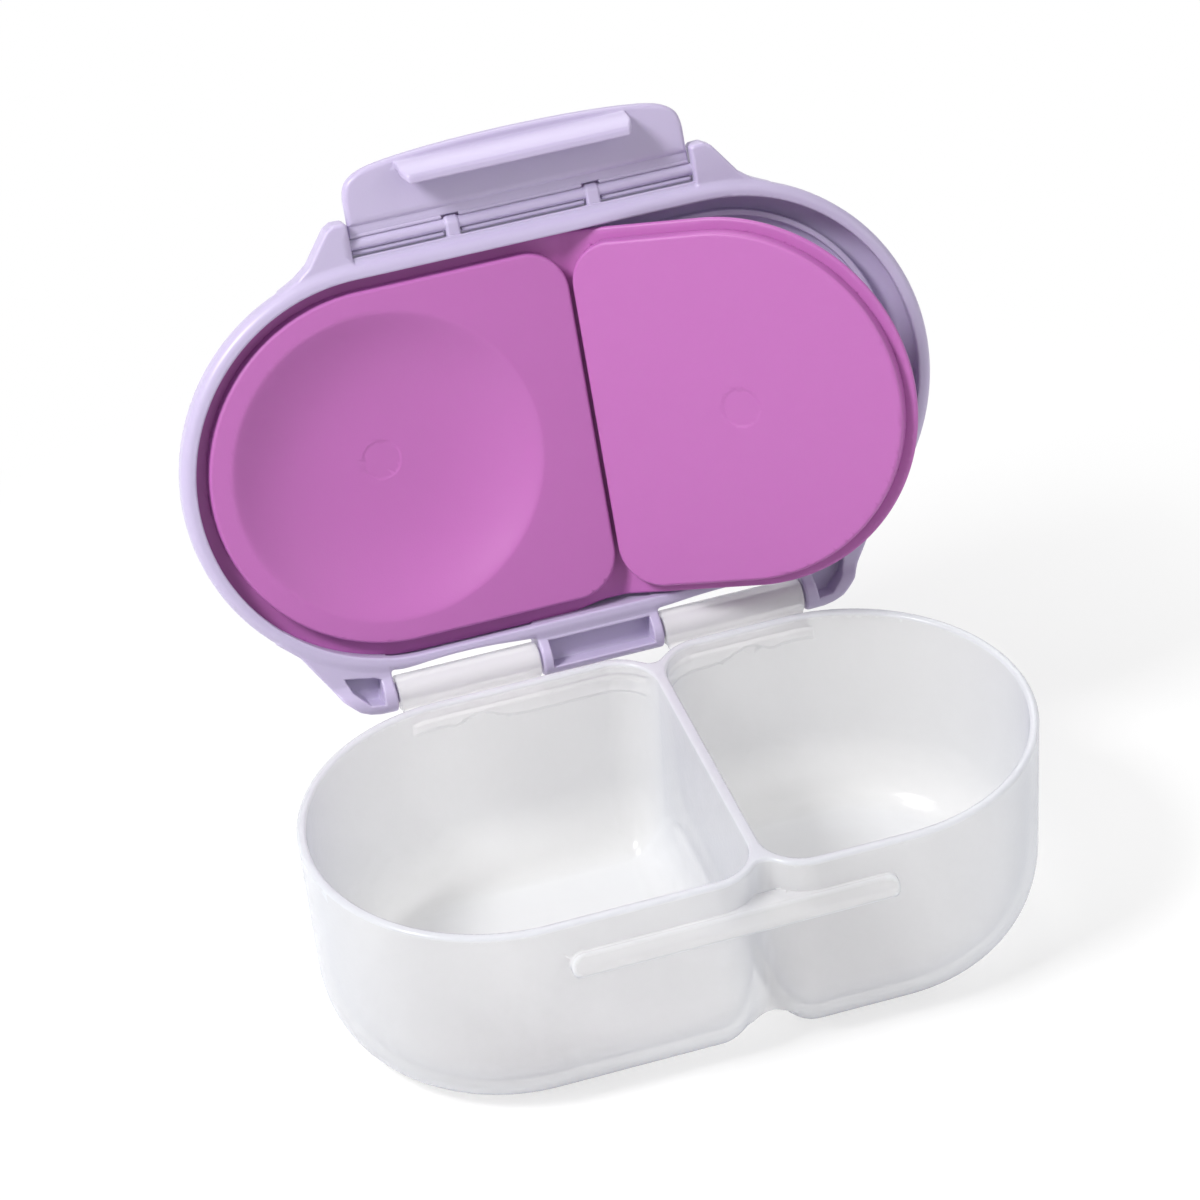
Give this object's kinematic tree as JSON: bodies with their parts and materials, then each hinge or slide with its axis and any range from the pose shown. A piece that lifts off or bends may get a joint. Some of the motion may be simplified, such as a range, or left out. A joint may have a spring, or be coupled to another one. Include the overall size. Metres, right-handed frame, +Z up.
{
  "type": "toddler snack container",
  "caption": "Clear two-compartment snack box with a hinged lilac lid, a soft seal half peeled out and a front latch.",
  "frame": {"origin": "middle of the tub's footprint, on the table", "axes": "+X to the right along the box's length, -Y to the latch side, +Z up"},
  "size_m": [0.1936, 0.1559, 0.1832],
  "materials": {
    "clear_pp": "frosted translucent, smooth outside",
    "lilac_pp": "semi-gloss moulded",
    "silicone": "soft satin"
  },
  "bodies": {
    "tub": {"tub": "clear_pp"},
    "lid": {"lid": "lilac_pp", "seal_dish_half": "silicone"},
    "latch": {"latch": "lilac_pp"},
    "seal_right": {"seal_flat_half": "silicone"},
    "dish": {"dish_membrane": "silicone"}
  },
  "joints": [
    {"name": "lid_hinge", "type": "hinge", "parent": "tub", "child": "lid", "pos_m": [0, 0.0575, 0.056], "axis": [1, 0, 0], "range_deg": [0, 109.2]},
    {"name": "latch_hinge", "type": "hinge", "parent": "lid", "child": "latch", "pos_m": [0, 0.09694, 0.16256], "axis": [1, 0, 0], "range_deg": [0, 82]},
    {"name": "seal_peel", "type": "hinge", "parent": "lid", "child": "seal_right", "pos_m": [0.0094, 0.07924, 0.10931], "axis": [0, 0.3289, 0.9444], "range_deg": [0, 32.44]},
    {"name": "dish_pop", "type": "slide", "parent": "lid", "child": "dish", "axis": [0, 0.9444, -0.3289], "range_m": [0, 0.012]}
  ],
  "couplings": [
    {"joint": "seal_peel", "follows": "lid_hinge", "ratio": 0.29707}
  ]
}
